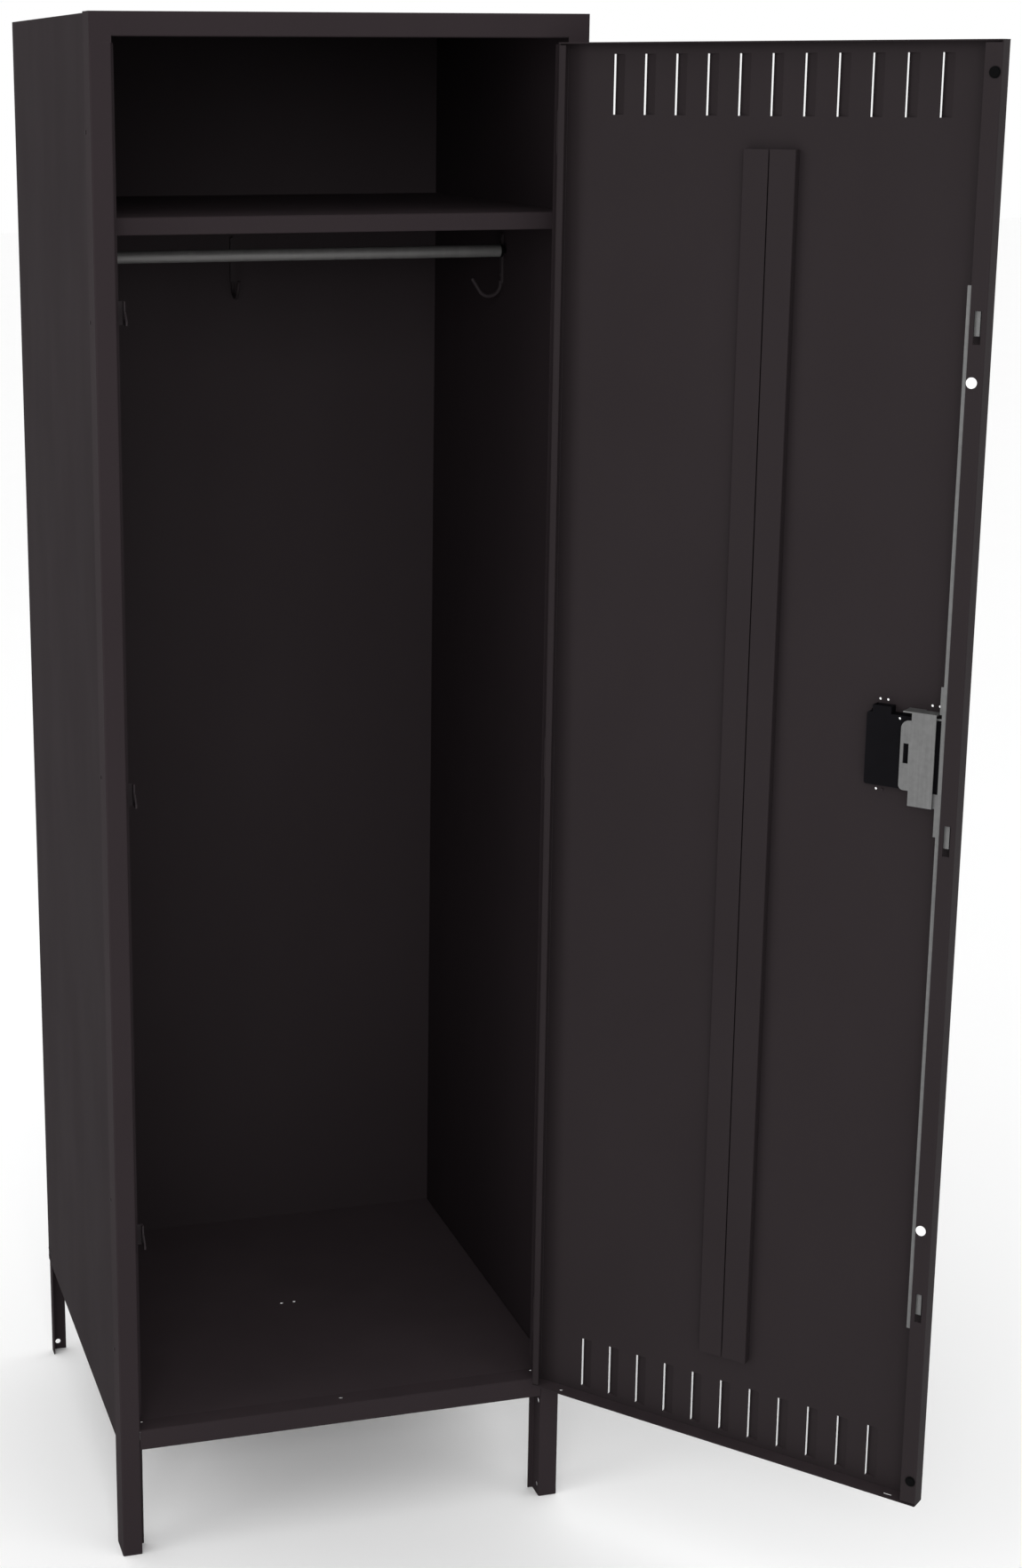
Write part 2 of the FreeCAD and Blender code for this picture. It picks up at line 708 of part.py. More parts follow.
for name, level in HINGE_LEVELS.items():
    hinge_leaf(f"hinge_frame_leaf_{name}", level, FRAME_KNUCKLES,
               "(half_width - face_width - leaf_gauge)", PIVOT_X, PIVOT_Y, FRONT)

PIN_STEPS = [("-0.8", "0", "pin_foot_radius"), ("0", "hinge_length + 0.4", "pin_radius"),
             ("hinge_length + 0.4", "hinge_length + 1.6", "pin_head_radius")]
hinge_pins = new_body("hinge_pins")
for level in HINGE_LEVELS.values():
    studs(hinge_pins, "XY", f"({level} - hinge_length / 2 - 0.2)", 1, PIN_STEPS,
          [(PIVOT_X, PIVOT_Y)])

# ---------------------------------------------------------------- door placement

PIVOT = FreeCAD.Vector(number(PIVOT_X), number(PIVOT_Y), 0)
CLOSED = FreeCAD.Placement(
    FreeCAD.Vector(number("door_half"), number(FRONT), 0), FreeCAD.Rotation())
SWING = FreeCAD.Placement(
    FreeCAD.Vector(0, 0, 0),
    FreeCAD.Rotation(FreeCAD.Vector(0, 0, 1), number("open_angle")), PIVOT)
DOOR = SWING * CLOSED

RIVET_OFFSETS = ("-hinge_rivet_pitch", "0", "hinge_rivet_pitch")


def rivet_spots(level):
    return [("hinge_rivet_setback", f"{level} + ({offset})") for offset in RIVET_OFFSETS]


for name, level in HINGE_LEVELS.items():
    leaf = hinge_leaf(f"hinge_door_leaf_{name}", level, DOOR_KNUCKLES, "0",
                      "pivot_setout", "-pivot_front", "0", DOOR)
    pocket(leaf, "YZ", "-1", "leaf_gauge + 1",
           [disc(y, z, "rivet_hole_radius") for y, z in rivet_spots(level)])

# ---------------------------------------------------------------- door pan

door = new_body("door_pan", DOOR)
door_path = [("-hinge_return", "door_thick"), ("0", "door_thick"), ("0", "0"),
             ("-door_width", "0"), ("-door_width", "door_thick"),
             ("-door_width + latch_return", "door_thick")]
folded_pad(door, "XY", "door_bottom", "door_top", door_path, "door_gauge", -1)
for low in ("door_bottom", "door_top - door_gauge"):
    pad(door, "XY", low, f"{low} + door_gauge",
        [rect("-door_width + 0.4", "0.4", "-0.4", "door_thick")])
for low, high in (("door_bottom + door_gauge", "door_bottom + door_gauge + corner_relief"),
                  ("door_top - door_gauge - corner_relief", "door_top - door_gauge")):
    for start, end in (("-door_width - 1", "-door_width + latch_return + 1"),
                       ("-hinge_return - 1", "1")):
        pocket(door, "XY", low, high,
               [rect(start, "door_thick - door_gauge - 0.8", end, "door_thick + 1")])

# drain hole and slot in the bottom flange
pocket(door, "XY", "door_bottom - 1", "door_bottom + door_gauge + 1",
       [disc("-drain_across", "drain_setback", "drain_radius"),
        rect("-517", "12.7", "-506", "16.2")])

# hand recess opening and the cover holes around it
SKIN_CUT = ("-1", "door_gauge + 1")
pocket(door, "XZ", *SKIN_CUT,
       [rect("-cup_end - 0.3", "cup_bottom - 0.3", "-cup_start + 0.3", "cup_top + 0.3")])
for height, spots in (("cover_hole_height", (441, 450.8, 505.7, 515)),
                      ("cover_hole_low", (441.1, 449.5))):
    pocket(door, "XZ", *SKIN_CUT,
           [disc(f"-{spot}", height, "cover_hole_radius") for spot in spots])

# latch slots, guide holes and bumper holes in the return
RETURN_CUT = ("door_thick - door_gauge - 1", "door_thick + 1")
for base in HOOK_LEVELS.values():
    pocket(door, "XZ", *RETURN_CUT, [rect("-slot_end", base, "-slot_start", f"{base} + slot_tall")])
GUIDE_SPOTS = [("-guide_across", height) for height in ("guide_top", "guide_bottom")]
BUMPER_SPOTS = [("-bumper_across", height) for height in ("bumper_top", "bumper_bottom")]
pocket(door, "XZ", *RETURN_CUT,
       [disc(x, z, "guide_stem_radius + 0.1") for x, z in GUIDE_SPOTS]
       + [disc(x, z, "rivet_radius + 0.1") for x, z in BUMPER_SPOTS])

# hinge rivet holes
for level in HINGE_LEVELS.values():
    pocket(door, "YZ", "-door_gauge - 1", "1",
           [disc(y, z, "rivet_hole_radius") for y, z in rivet_spots(level)])

# louvres: a hood raised outwards and attached along its latch-side edge
HOOD_LOW = "louvre_low_row - louvre_half"
HOOD_HIGH = "louvre_low_row + louvre_half"
hood = pad(door, "XY", f"{HOOD_LOW} - louvre_end_wall", f"{HOOD_HIGH} + louvre_end_wall",
           [[("-louvre_start", "0.5"), ("-louvre_start", "-louvre_rise"),
             ("-louvre_start - louvre_lip", "-louvre_rise"),
             ("-louvre_start - louvre_reach", "0"), ("-louvre_start - louvre_reach", "0.5")]])
throat = pocket(door, "XY", HOOD_LOW, HOOD_HIGH,
                [[("-louvre_start", "door_gauge"), ("-louvre_start", "-louvre_mouth"),
                  ("-louvre_start - louvre_lip", "-louvre_mouth"),
                  ("-louvre_start - louvre_reach + 0.8", "door_gauge")]])
louvres = door.newObject("PartDesign::MultiTransform", "Louvres")
louvres.Originals = [hood, throat]
across = document.addObject("PartDesign::LinearPattern", "Across")
across.Direction = (origin_feature(door, "X_Axis"), [""])
across.Reversed = True
across.setExpression("Length", bound("louvre_pitch * 10"))
across.Occurrences = 11
upward = document.addObject("PartDesign::LinearPattern", "Upward")
upward.Direction = (origin_feature(door, "Z_Axis"), [""])
upward.setExpression("Length", bound("louvre_row_rise"))
upward.Occurrences = 2
louvres.Transformations = [across, upward]
door.Tip = louvres

# ---------------------------------------------------------------- door fittings

stiffener = new_body("door_stiffener", DOOR)
near = "-stiffener_start"
far = "(-stiffener_start - stiffener_width)"
middle = "(-stiffener_start - stiffener_width / 2)"
rise = "(door_gauge + stiffener_depth)"
folded_pad(stiffener, "XY", "stiffener_bottom", "stiffener_top",
           [(f"{middle} + stiffener_gap / 2", rise), (near, rise), (near, "door_gauge"),
            (far, "door_gauge"), (far, rise), (f"{middle} - stiffener_gap / 2", rise)],
           "stiffener_gauge", -1)

hinge_rivets = new_body("hinge_rivets", DOOR)
spots = [spot for level in HINGE_LEVELS.values() for spot in rivet_spots(level)]
studs(hinge_rivets, "YZ", "-door_gauge", -1,
      [("-door_gauge - leaf_gauge", "0", "rivet_radius")] + domed("1.3", "3.6"), spots)

# hand recess
cup = new_body("handle_cup", DOOR)
pad(cup, "XZ", "-bezel_gauge", "0",
    [rect("-cup_end - bezel", "cup_bottom - bezel", "-cup_start + bezel", "cup_top + bezel")])
pad(cup, "XZ", "0", "cup_floor",
    [rect("-cup_end", "cup_bottom", "-cup_start", "cup_top")])
for inset, radius in (("bezel", "bezel"), ("0", "cup_corner")):
    round_edges(cup, "Y", [(x, z) for x in (f"-cup_end - {inset}", f"-cup_start + {inset}")
                           for z in (f"cup_bottom - {inset}", f"cup_top + {inset}")], radius)
pocket(cup, "XZ", "-bezel_gauge - 1", "cup_floor - cup_wall",
       [rect("-cup_end + cup_wall", "cup_bottom + cup_wall",
             "-cup_start - cup_wall", "cup_top - cup_wall")])
pocket(cup, "XZ", "cup_floor - cup_wall - 1", "cup_floor + 1",
       [rect("-cup_slot_end", "cup_slot_bottom", "-cup_slot_start", "cup_slot_top")])
# snap clip above the recess
pad(cup, "XZ", "2", "cup_floor",
    [rect("-clip_end", "cup_top - 1", "-clip_start", "cup_top + clip_rise")])
pocket(cup, "XZ", "4", "cup_floor - clip_wall",
       [rect("-clip_end + clip_wall", "cup_top", "-clip_start - clip_wall",
             "cup_top + clip_rise + 1")])
pocket(cup, "XZ", "1", "cup_floor + 1", [disc("-472", "cup_top - 3.8", "1.6")])

eye = new_body("padlock_eye", DOOR)
EYE_CUT = ("-eye_end - 1", "-eye_start + 1")
pad(eye, "YZ", "-eye_end", "-eye_start",
    [rect("-eye_reach", "eye_bottom", "cup_floor - cup_wall", "eye_top")])
round_edges(eye, "X", [("-eye_reach", "eye_bottom"), ("-eye_reach", "eye_top")], "eye_reach")
pocket(eye, "YZ", *EYE_CUT, [disc("3", "eye_bore_height", "eye_bore")])
pocket(eye, "YZ", *EYE_CUT, [rect("9", "eye_bottom - 3", "cup_floor", "eye_bore_height + 3")])

cup_screw = new_body("cup_screw", DOOR)
CUP_SCREW_STEPS = [("-door_gauge - 1.5", "0", "cover_hole_radius - 0.1")] + domed("1.3", "3")
studs(cup_screw, "XZ", "0", -1, CUP_SCREW_STEPS, [("-449.5", "cover_hole_low")])

bumpers = new_body("door_bumpers", DOOR)
studs(bumpers, "XZ", "door_thick", 1, [("-3", "0", "rivet_radius")] + domed("2", "6.45"),
      BUMPER_SPOTS)

# nylon guides: a head outside the return, a stem through the bar and a keeper behind it
guides = new_body("lock_bar_guides", DOOR)
studs(guides, "XZ", "door_thick", 1,
      [("-6.9", "-5.3", "guide_stem_radius + 2.4"), ("-5.3", "0", "guide_stem_radius")]
      + domed("2", "guide_head_radius"), GUIDE_SPOTS)

# ---------------------------------------------------------------- lock bar

BAR_BACK = "bar_front + bar_gauge"
BAR_CUT = ("bar_front - 1", f"{BAR_BACK} + 1")
GUIDE_HALF = "(guide_stem_radius + 0.2)"
LEG_RIVET_SPOTS = [("-leg_rivet_across", f"leg_rivet_middle + ({step}) * leg_rivet_pitch")
                   for step in (-1, 0, 1)]

bar = new_body("lock_bar", DOOR)
pad(bar, "XZ", "bar_front", BAR_BACK, [rect("-bar_end", "bar_bottom", "-bar_start", "bar_top")])
for base in HOOK_LEVELS.values():
    pocket(bar, "XZ", *BAR_CUT,
           [rect("-bar_end - 1", f"{base} + notch_low", "-notch_start", f"{base} + notch_high")])
for height in ("guide_bottom", "guide_top"):
    low = f"{height} - bar_travel - {GUIDE_HALF}"
    high = f"{height} + {GUIDE_HALF}"
    pocket(bar, "XZ", *BAR_CUT,
           [rect(f"-guide_across - {GUIDE_HALF}", low, f"-guide_across + {GUIDE_HALF}", high)])
    round_edges(bar, "Y", [(f"-guide_across + ({side} * {GUIDE_HALF})", end)
                           for side in (-1, 1) for end in (low, high)], f"{GUIDE_HALF} - 0.1")
pocket(bar, "XZ", *BAR_CUT, [disc(x, z, "rivet_hole_radius") for x, z in LEG_RIVET_SPOTS])

# ---------------------------------------------------------------- lift plate

WEB_BACK = "(lift_front + lift_gauge)"
LEG_FRONT = "(bar_front - lift_gauge)"
SIDE_EDGE = "-web_end + lift_gauge"

# web with its finger tab and window
lift = new_body("lift_plate", DOOR)
pad(lift, "XZ", "lift_front", WEB_BACK,
    [rect("-web_end", "web_bottom", "-web_start", "web_top")])
pad(lift, "XZ", "lift_front", WEB_BACK,
    [rect("-web_start - 0.5", "tab_bottom", "-tab_start", "tab_top")])
round_edges(lift, "Y", [("-tab_start", "tab_bottom")], "6")
round_edges(lift, "Y", [("-tab_start", "tab_top")], "10")
pocket(lift, "XZ", "lift_front - 1", f"{WEB_BACK} + 1",
       [rect("-window_end", "window_bottom", "-window_start", "window_top")])

# canopy folded towards the door skin, deeper at its inner end
for start, end, depth in (("-canopy_step", "-canopy_start", "2.5"),
                          ("-web_end", "-canopy_step + 1", "6")):
    pad(lift, "XZ", depth, WEB_BACK, [rect(start, "web_top - lift_gauge", end, "web_top")])

# leg behind the bar, joined to the web by a side fold below and a narrow strap above
pad(lift, "XZ", LEG_FRONT, "bar_front", [rect("-leg_end", "leg_bottom", "-leg_start", "leg_top")])
for low, high in (("leg_recess_bottom", "strap_bottom"), ("strap_top", "web_top")):
    pocket(lift, "XZ", f"{LEG_FRONT} - 1", "bar_front + 1",
           [rect("-leg_recess", low, "-leg_start + 1", high)])
for low, high in (("web_bottom", "leg_recess_bottom"), ("strap_bottom", "strap_top")):
    pad(lift, "XZ", LEG_FRONT, WEB_BACK, [rect("-web_end", low, SIDE_EDGE, high)])
    pad(lift, "XZ", LEG_FRONT, "bar_front", [rect("-leg_recess - 1", low, SIDE_EDGE, high)])
pocket(lift, "XZ", f"{LEG_FRONT} - 1", "bar_front + 1",
       [disc(x, z, "rivet_hole_radius") for x, z in LEG_RIVET_SPOTS])

# pull that reaches through the hand recess, slotted around the padlock eye
handle = new_body("lift_handle", DOOR)
HANDLE_BACK = "lift_front - lift_gauge"
folded_pad(handle, "YZ", "-handle_end", "-handle_start",
           [("-0.5", "handle_level - handle_drop"), ("-0.5", "handle_level"),
            (HANDLE_BACK, "handle_level"), (HANDLE_BACK, "handle_level + handle_rise")],
           "lift_gauge", -1)
pocket(handle, "XY", "handle_level - handle_drop - 2", "handle_level + 1.5",
       [rect("-eye_end - 0.7", "-2", "-eye_start + 0.7", "14")])

lift_rivets = new_body("lift_rivets", DOOR)
studs(lift_rivets, "XZ", LEG_FRONT, -1,
      [("-lift_gauge - bar_gauge", "0", "rivet_radius")] + domed("1", "3.2"), LEG_RIVET_SPOTS)

# ---------------------------------------------------------------- check and export

document.recompute()
faults = []
for item in document.Objects:
    if any(word in item.State for word in ("Invalid", "Error")):
        faults.append(f"{item.Label}: {item.State}")
for node in nodes:
    if node.Shape.isNull() or not node.Shape.isValid():
        faults.append(f"{node.Label}: bad shape")
if faults:
    raise RuntimeError("; ".join(faults))
for node in nodes:
    node.Shape.exportStep(f"parts/{node.Label}.step")
print(f"{len(nodes)} nodes written")
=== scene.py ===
"""Looks of the school locker: powder-coated sheet steel, zinc lock parts, studio and camera."""

import math

import bpy
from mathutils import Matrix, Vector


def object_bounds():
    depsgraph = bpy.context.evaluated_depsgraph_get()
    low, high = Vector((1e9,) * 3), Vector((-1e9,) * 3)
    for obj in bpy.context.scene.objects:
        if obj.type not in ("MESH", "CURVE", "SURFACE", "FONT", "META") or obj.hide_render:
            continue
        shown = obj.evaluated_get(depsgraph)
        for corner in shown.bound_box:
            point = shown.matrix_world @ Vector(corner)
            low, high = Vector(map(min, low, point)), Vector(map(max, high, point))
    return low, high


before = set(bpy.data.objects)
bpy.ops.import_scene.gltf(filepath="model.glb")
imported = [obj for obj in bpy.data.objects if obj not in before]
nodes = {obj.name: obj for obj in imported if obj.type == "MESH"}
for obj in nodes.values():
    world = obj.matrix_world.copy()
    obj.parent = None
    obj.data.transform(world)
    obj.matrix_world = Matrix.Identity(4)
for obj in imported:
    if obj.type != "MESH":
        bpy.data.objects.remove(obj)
cad_low, cad_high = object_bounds()

# ---------------------------------------------------------------- node helpers

# A Mix node's colour sockets share their names with other sockets, so they go by number.
MIX_FIRST = 6
MIX_SECOND = 7
MIX_RESULT = 2

BEVEL_SAMPLES = 4
EDGE_FOLDED = 0.86      # cosine between bevelled and true normal at a fold
EDGE_FLAT = 0.985       # the same where the face counts as flat

LEVEL_FACE = (0.7, 0.95)    # upward part of the normal, from sloping to level
BROAD = (0.3, 0.7)          # window of a noise that gives soft patches
NARROW = (0.35, 0.65)       # window that gives crisper ones


class Graph:
    """A material's node tree around one Principled shader."""

    def __init__(self, name, colour, roughness, **uniform):
        self.material = bpy.data.materials.new(name)
        self.material.use_nodes = True
        self.tree = self.material.node_tree
        self.shader = self.tree.nodes["Principled BSDF"]
        self.shader.inputs["Base Color"].default_value = (*colour, 1)
        self.shader.inputs["Roughness"].default_value = roughness
        for socket, value in uniform.items():
            self.shader.inputs[socket.replace("_", " ")].default_value = value
        coordinates = self.add("ShaderNodeTexCoord")
        self.place = coordinates.outputs["Object"]

    def add(self, kind, **settings):
        node = self.tree.nodes.new(kind)
        for name, value in settings.items():
            setattr(node, name, value)
        return node

    def link(self, source, target):
        self.tree.links.new(source, target)

    def noise(self, scale, detail, stretch=(1, 1, 1), seed=(0, 0, 0)):
        """Noise of so many bumps per metre, with so many finer octaves, moved by the seed."""
        mapping = self.add("ShaderNodeMapping")
        mapping.inputs["Scale"].default_value = stretch
        mapping.inputs["Location"].default_value = seed
        texture = self.add("ShaderNodeTexNoise")
        texture.inputs["Scale"].default_value = scale
        texture.inputs["Detail"].default_value = detail
        self.link(self.place, mapping.inputs["Vector"])
        self.link(mapping.outputs["Vector"], texture.inputs["Vector"])
        return texture.outputs["Fac"]

    def ramp(self, value, window, start=0.0, end=1.0):
        """Map value across the window to start and end, clamped."""
        node = self.add("ShaderNodeMapRange")
        node.inputs["From Min"].default_value = window[0]
        node.inputs["From Max"].default_value = window[1]
        node.inputs["To Min"].default_value = start
        node.inputs["To Max"].default_value = end
        self.link(value, node.inputs["Value"])
        return node.outputs["Result"]

    def math(self, operation, first, second):
        """Combine two values, each a number or another node's output."""
        node = self.add("ShaderNodeMath", operation=operation)
        for value, socket in ((first, node.inputs[0]), (second, node.inputs[1])):
            if isinstance(value, (int, float)):
                socket.default_value = value
            else:
                self.link(value, socket)
        return node.outputs["Value"]

    def blend(self, factor, first, second):
        """Mix two colours, each a tuple or another node's output."""
        node = self.add("ShaderNodeMix", data_type="RGBA")
        self.link(factor, node.inputs["Factor"])
        for value, number in ((first, MIX_FIRST), (second, MIX_SECOND)):
            if isinstance(value, tuple):
                node.inputs[number].default_value = (*value, 1)
            else:
                self.link(value, node.inputs[number])
        return node.outputs[MIX_RESULT]

    def varied(self, tone, colour, spread):
        """The colour darkened to lightened by the spread, as the tone goes from 0 to 1."""
        return self.blend(tone, shade(colour, 1 - spread), shade(colour, 1 + spread))

    def edges(self, radius):
        """Near 1 on convex and concave edges closer than the radius, 0 on flats."""
        bevel = self.add("ShaderNodeBevel", samples=BEVEL_SAMPLES)
        bevel.inputs["Radius"].default_value = radius
        geometry = self.add("ShaderNodeNewGeometry")
        product = self.add("ShaderNodeVectorMath", operation="DOT_PRODUCT")
        self.link(bevel.outputs["Normal"], product.inputs[0])
        self.link(geometry.outputs["Normal"], product.inputs[1])
        return self.ramp(product.outputs["Value"], (EDGE_FLAT, EDGE_FOLDED))

    def facing_up(self):
        """0 on walls and undersides, 1 on faces that look straight up."""
        geometry = self.add("ShaderNodeNewGeometry")
        parts = self.add("ShaderNodeSeparateXYZ")
        self.link(geometry.outputs["Normal"], parts.inputs["Vector"])
        return self.ramp(parts.outputs["Z"], LEVEL_FACE)

    def bump(self, height, distance, strength, under=None):
        """Normal of a relief this deep in metres, laid over another one if that is given."""
        node = self.add("ShaderNodeBump")
        node.inputs["Distance"].default_value = distance
        node.inputs["Strength"].default_value = strength
        self.link(height, node.inputs["Height"])
        if under is not None:
            self.link(under, node.inputs["Normal"])
        return node.outputs["Normal"]

    def finish(self, colour, roughness, normal):
        """Link each that is given to the shader, and hand over the material."""
        for value, socket in ((colour, "Base Color"), (roughness, "Roughness"),
                              (normal, "Normal")):
            if value is not None:
                self.link(value, self.shader.inputs[socket])
        return self.material


def shade(colour, factor):
    return tuple(channel * factor for channel in colour)


# ---------------------------------------------------------------- materials
# A scale is in bumps per metre; a depth, a wave and a reach are in metres.

CLOUD_SCALE = 3.5       # faint cloudiness of a whole panel
FLECK_SCALE = 2600      # grains of the powder
WEAR_SCALE = 34         # rubbed stretches of the folds
TOP_PATCH_SCALE = 18         # patches in the settled dust and painted top light
SMEAR_SCALE = 11        # wiped and handled areas
SHEET_WAVE_SCALE = 5    # slow waves of a large thin panel
PEEL_SCALE = 850        # orange peel of the coat
PEEL_DEPTH = 0.00012
FOLD_WEAR_REACH = 0.0011
# Paler tint of the paint for up-facing faces: part dust, part painted light falling on tops.
DUST_AND_TOP_LIGHT = (0.0440, 0.0336, 0.0370)


def powder_coat(name, colour, roughness, wave, seed=(0, 0, 0), specular=0.10):
    """Baked powder coat: orange peel, faint cloudiness, rubbed folds, and settled dust with
    painted light on faces that look up.
    """
    graph = Graph(name, colour, roughness, Specular_IOR_Level=specular)
    clouds = graph.noise(CLOUD_SCALE, 3.0, seed=seed)
    flecks = graph.noise(FLECK_SCALE, 1.0, seed=seed)
    tone = graph.math("ADD", graph.ramp(clouds, BROAD, 0.0, 0.7),
                      graph.ramp(flecks, NARROW, 0.0, 0.3))
    paint = graph.varied(tone, colour, 0.07)
    wear_patches = graph.ramp(graph.noise(WEAR_SCALE, 4.0, seed=seed), (0.50, 0.64))
    wear = graph.math("MULTIPLY", graph.edges(FOLD_WEAR_REACH),
                      graph.math("MULTIPLY", wear_patches, 0.3))
    paint = graph.blend(wear, paint, shade(colour, 1.9))
    # Faces that look up are lightened in patches: settled dust and painted top light together.
    top_patches = graph.ramp(graph.noise(TOP_PATCH_SCALE, 4.0, seed=seed), BROAD, 0.5, 0.7)
    dust_and_top_light = graph.math("MULTIPLY", graph.facing_up(), top_patches)
    paint = graph.blend(dust_and_top_light, paint, DUST_AND_TOP_LIGHT)
    smears = graph.noise(SMEAR_SCALE, 5.0, stretch=(1, 1, 0.35), seed=seed)
    smeared = graph.ramp(smears, (0.35, 0.68), roughness - 0.03, roughness + 0.04)
    gloss = graph.math("ADD", smeared, graph.math("MULTIPLY", wear, -0.12))
    slow = graph.bump(graph.noise(SHEET_WAVE_SCALE, 1.0, seed=seed), wave, 0.6)
    peel = graph.bump(graph.noise(PEEL_SCALE, 2.0, seed=seed), PEEL_DEPTH, 0.55, under=slow)
    return graph.finish(paint, gloss, peel)


STREAK_SCALE = 320      # drawn streaks, stretched along the strip
STREAK_DEPTH = 0.00006
SPANGLE_SCALE = 140
DULLED_SCALE = 45
PLATE_WEAR_REACH = 0.0006


def zinc_plate(name, colour, seed=(0, 0, 0)):
    """Zinc-plated steel strip: drawn streaks, spangle and dulled patches."""
    graph = Graph(name, colour, roughness=0.46, Metallic=0.40)
    streaks = graph.noise(STREAK_SCALE, 3.0, stretch=(1, 1, 0.04), seed=seed)
    spangle = graph.noise(SPANGLE_SCALE, 2.0, seed=seed)
    tone = graph.math("ADD", graph.ramp(streaks, BROAD, 0.0, 0.6),
                      graph.ramp(spangle, NARROW, 0.0, 0.4))
    metal = graph.varied(tone, colour, 0.14)
    wear = graph.math("MULTIPLY", graph.edges(PLATE_WEAR_REACH), 0.4)
    metal = graph.blend(wear, metal, shade(colour, 1.45))
    dulled = graph.ramp(graph.noise(DULLED_SCALE, 4.0, seed=seed), (0.35, 0.7), 0.38, 0.58)
    return graph.finish(metal, dulled, graph.bump(streaks, STREAK_DEPTH, 0.5))


ROD_LINE_SCALE = 600    # lines along the tube
ROD_LINE_DEPTH = 0.00005
RUB_SCALE = 160         # rings rubbed by hangers


def rod_steel(name, colour):
    """Drawn tube with lengthwise lines and hanger rub marks around it."""
    graph = Graph(name, colour, roughness=0.5, Metallic=0.35)
    drawn = graph.noise(ROD_LINE_SCALE, 2.0, stretch=(0.02, 1, 1))
    rubs = graph.noise(RUB_SCALE, 3.0, stretch=(1, 0.05, 0.05))
    tone = graph.math("ADD", graph.ramp(drawn, BROAD, 0.0, 0.5),
                      graph.ramp(rubs, (0.45, 0.7), 0.0, 0.5))
    metal = graph.varied(tone, colour, 0.12)
    gloss = graph.ramp(rubs, (0.4, 0.7), 0.46, 0.60)
    return graph.finish(metal, gloss, graph.bump(drawn, ROD_LINE_DEPTH, 0.5))


SPARK_SCALE = 1500      # grain that a spark-eroded mould leaves
PLASTIC_CLOUD_SCALE = 25
CORNER_REACH = 0.0008


def moulded_plastic(name, colour, roughness, grain, specular, seed=(0, 0, 0)):
    """Moulded plastic with a fine spark-eroded grain and slightly shiny corners, their lighter
    colour a painted highlight.
    """
    graph = Graph(name, colour, roughness, Specular_IOR_Level=specular)
    grains = graph.noise(SPARK_SCALE, 3.0, seed=seed)
    clouds = graph.noise(PLASTIC_CLOUD_SCALE, 3.0, seed=seed)
    body = graph.varied(graph.ramp(clouds, NARROW), colour, 0.12)
    corners = graph.edges(CORNER_REACH)
    # Corners lightened in colour: a painted highlight; their lower roughness below is real
    # rubbed shine.
    body = graph.blend(graph.math("MULTIPLY", corners, 0.35), body, shade(colour, 1.5))
    gloss = graph.math("ADD", graph.ramp(grains, BROAD, roughness - 0.05, roughness + 0.06),
                       graph.math("MULTIPLY", corners, -0.1))
    return graph.finish(body, gloss, graph.bump(grains, grain, 0.6))


PORE_SCALE = 1900
PORE_DEPTH = 0.0001
BLOOM_SCALE = 220


def rubber(name, colour):
    """Dull rubber with mould bloom and dust in its pores."""
    graph = Graph(name, colour, roughness=0.85, Specular_IOR_Level=0.04)
    pores = graph.noise(PORE_SCALE, 2.0)
    bloom = graph.ramp(graph.noise(BLOOM_SCALE, 4.0), (0.5, 0.75), 0.0, 0.5)
    body = graph.blend(bloom, colour, shade(colour, 1.6))
    gloss = graph.ramp(pores, BROAD, 0.78, 0.92)
    return graph.finish(body, gloss, graph.bump(pores, PORE_DEPTH, 0.6))


# One powder coat throughout, made lighter or darker part by part to stand in for the light each
# part gets: painted light and shade.
SIDE_PAINT = (0.0190, 0.0146, 0.0162)
FRAME_PAINT = (0.0240, 0.0187, 0.0206)
DOOR_PAINT = (0.0175, 0.0134, 0.0147)
INNER_PAINT_LIT = (0.0203, 0.0155, 0.0171)
FLOOR_PAINT_LIT = (0.0284, 0.0217, 0.0240)
FIXING_PAINT = (0.0198, 0.0156, 0.0172)
BAR_ZINC = (0.117, 0.117, 0.117)
RIVET_ZINC = (0.12, 0.12, 0.12)
ROD_GREY = (0.130, 0.127, 0.125)
CUP_BLACK = (0.0034, 0.0031, 0.0040)
NYLON_WHITE = (0.86, 0.86, 0.85)
RUBBER_BLACK = (0.0024, 0.0024, 0.0026)

PANEL_WAVE = 0.0004
POST_WAVE = 0.0003
FIXING_WAVE = 0.0001
MATT = {"roughness": 0.78, "specular": 0.025}

materials = {
    "side": powder_coat("side_powder_coat", SIDE_PAINT, wave=PANEL_WAVE, seed=(3, 1, 0), **MATT),
    "frame": powder_coat("frame_powder_coat", FRAME_PAINT, wave=POST_WAVE, **MATT),
    "door": powder_coat("door_powder_coat", DOOR_PAINT, 0.70, PANEL_WAVE, seed=(0, 5, 2)),
    # The inner and floor paints are lit copies, lightened against the shade inside the cabinet:
    # painted light.
    "inner": powder_coat("inner_powder_coat_lit", INNER_PAINT_LIT, 0.72, PANEL_WAVE, seed=(7, 0, 4)),
    "floor": powder_coat("floor_powder_coat_lit", FLOOR_PAINT_LIT, 0.72, PANEL_WAVE, seed=(5, 2, 6)),
    "fixing": powder_coat("fixing_paint", FIXING_PAINT, 0.62, FIXING_WAVE, seed=(1, 8, 1)),
    "zinc": zinc_plate("zinc_lock_parts", BAR_ZINC),
    "screw": zinc_plate("dark_zinc_fixings", RIVET_ZINC, seed=(2, 2, 2)),
    "rod": rod_steel("coat_rod_steel", ROD_GREY),
    "cup": moulded_plastic("black_cup_plastic", CUP_BLACK, roughness=0.66, grain=0.00008,
                           specular=0.04),
    "nylon": moulded_plastic("white_nylon", NYLON_WHITE, roughness=0.38, grain=0.00003,
                             specular=0.4, seed=(4, 0, 0)),
    "rubber": rubber("black_rubber", RUBBER_BLACK),
}

LEVELS = ("top", "middle", "bottom")

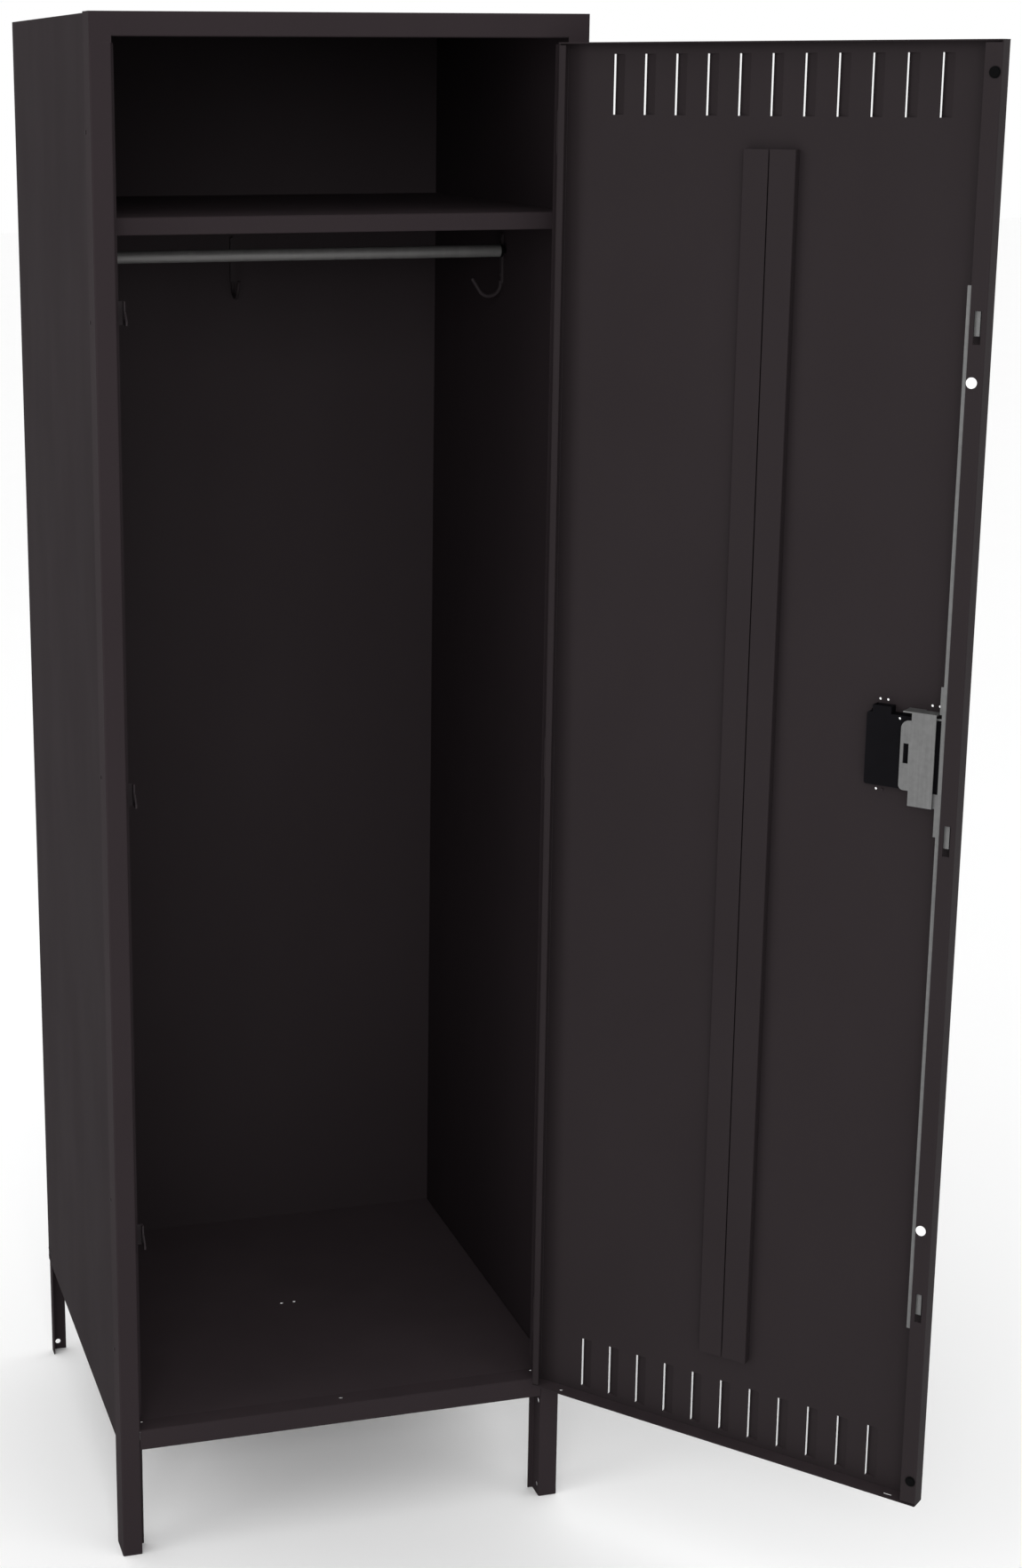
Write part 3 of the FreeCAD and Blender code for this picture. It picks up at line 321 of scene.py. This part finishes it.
FINISHES = {
    "side": ("left_side_panel", "right_side_panel", "top_panel"),
    "frame": ("left_upright", "right_upright", "front_left_leg", "front_right_leg", "header",
              "sill", "rear_left_leg", "rear_right_leg", "hat_shelf"),
    "door": ("door_pan", "door_stiffener"),
    "inner": ("back_panel",),
    "floor": ("bottom_panel",),
    "fixing": ("back_hook", "left_hook", "right_hook", "hook_bolts", "panel_rivets",
               "leg_rivets", "shelf_bolts", "hinge_pins", "hinge_rivets", "cup_screw",
               *(f"frame_hook_{level}" for level in LEVELS),
               *(f"hinge_frame_leaf_{level}" for level in LEVELS),
               *(f"hinge_door_leaf_{level}" for level in LEVELS)),
    "zinc": ("lock_bar", "lift_plate", "lift_handle", "padlock_eye"),
    "screw": ("lift_rivets",),
    "rod": ("coat_rod",),
    "cup": ("handle_cup",),
    "nylon": ("lock_bar_guides",),
    "rubber": ("door_bumpers", "rod_sockets"),
}

for finish, members in FINISHES.items():
    for member in members:
        for slot in nodes[member].material_slots:
            slot.material = materials[finish]

# ---------------------------------------------------------------- studio

FLOOR_HALF = 30.0
FLOOR_DROP = 0.0005     # keeps the floor clear of the soles of the feet
FLOOR_GREYS = (0.965, 0.97, 0.98)
FLOOR_TONE_SCALE = 2.0
FLOOR_GRAIN_SCALE = 300
FLOOR_GRAIN_DEPTH = 0.0002
WORLD_STRENGTH = 1.0

SOFTBOXES = {
    "left_softbox": {"place": (-4.5, -1.2, 2.4), "size": (2.5, 3.0), "power": 45},
    "front_softbox": {"place": (-1.5, -5.5, 2.8), "size": (3.0, 2.0), "power": 105},
}


def studio_floor(name):
    """Pale seamless floor with a barely visible grain."""
    darkest, usual, palest = ((grey, grey, grey) for grey in FLOOR_GREYS)
    graph = Graph(name, usual, roughness=0.9, Specular_IOR_Level=0.1)
    pale = graph.blend(graph.noise(FLOOR_TONE_SCALE, 3.0), darkest, palest)
    grain = graph.bump(graph.noise(FLOOR_GRAIN_SCALE, 2.0), FLOOR_GRAIN_DEPTH, 0.2)
    return graph.finish(pale, None, grain)


def make_floor():
    mesh = bpy.data.meshes.new("studio_floor")
    corners = [(x * FLOOR_HALF, y * FLOOR_HALF, -FLOOR_DROP) for x, y in
               ((-1, -1), (1, -1), (1, 1), (-1, 1))]
    mesh.from_pydata(corners, [], [(0, 1, 2, 3)])
    floor = bpy.data.objects.new("studio_floor", mesh)
    bpy.context.collection.objects.link(floor)
    floor.data.materials.append(studio_floor("studio_floor"))


def make_world():
    world = bpy.data.worlds.new("studio")
    world.use_nodes = True
    background = world.node_tree.nodes["Background"]
    background.inputs["Color"].default_value = (1, 1, 1, 1)
    background.inputs["Strength"].default_value = WORLD_STRENGTH
    bpy.context.scene.world = world


def aim_rotation(direction):
    """Rotation that points a light's -Z axis along the direction."""
    x, y, z = direction
    tilt = math.atan2(math.hypot(x, y), -z)
    turn = math.atan2(y, x) - math.pi / 2
    return (tilt, 0, turn)


def make_softbox(name, place, aim, size, power):
    light = bpy.data.lights.new(name, "AREA")
    light.shape = "RECTANGLE"
    light.size, light.size_y = size
    light.energy = power
    lamp = bpy.data.objects.new(name, light)
    bpy.context.collection.objects.link(lamp)
    lamp.location = place
    lamp.rotation_euler = aim_rotation([to - at for to, at in zip(aim, place)])


make_floor()
make_world()
middle = (0, 0, (cad_low.z + cad_high.z) / 2)
for softbox, settings in SOFTBOXES.items():
    make_softbox(softbox, aim=middle, **settings)

# ---------------------------------------------------------------- camera

CAMERA_PLACE = (-0.842, -3.376, 1.908)
CAMERA_DOWN = 14.36     # degrees below the horizon
CAMERA_RIGHT = 15.21    # degrees to the right of +Y
LENS = 60.05            # millimetres, as the sensor's width
SENSOR_WIDTH = 36.0
SHIFT = (0.1093, -0.0241)


def make_camera():
    camera_data = bpy.data.cameras.new("camera")
    camera_data.lens = LENS
    camera_data.sensor_width = SENSOR_WIDTH
    camera_data.shift_x, camera_data.shift_y = SHIFT
    camera = bpy.data.objects.new("camera", camera_data)
    camera.location = CAMERA_PLACE
    camera.rotation_euler = (math.radians(90 - CAMERA_DOWN), 0, math.radians(-CAMERA_RIGHT))
    bpy.context.collection.objects.link(camera)
    bpy.context.scene.camera = camera


make_camera()
bpy.context.scene.view_settings.view_transform = "Standard"
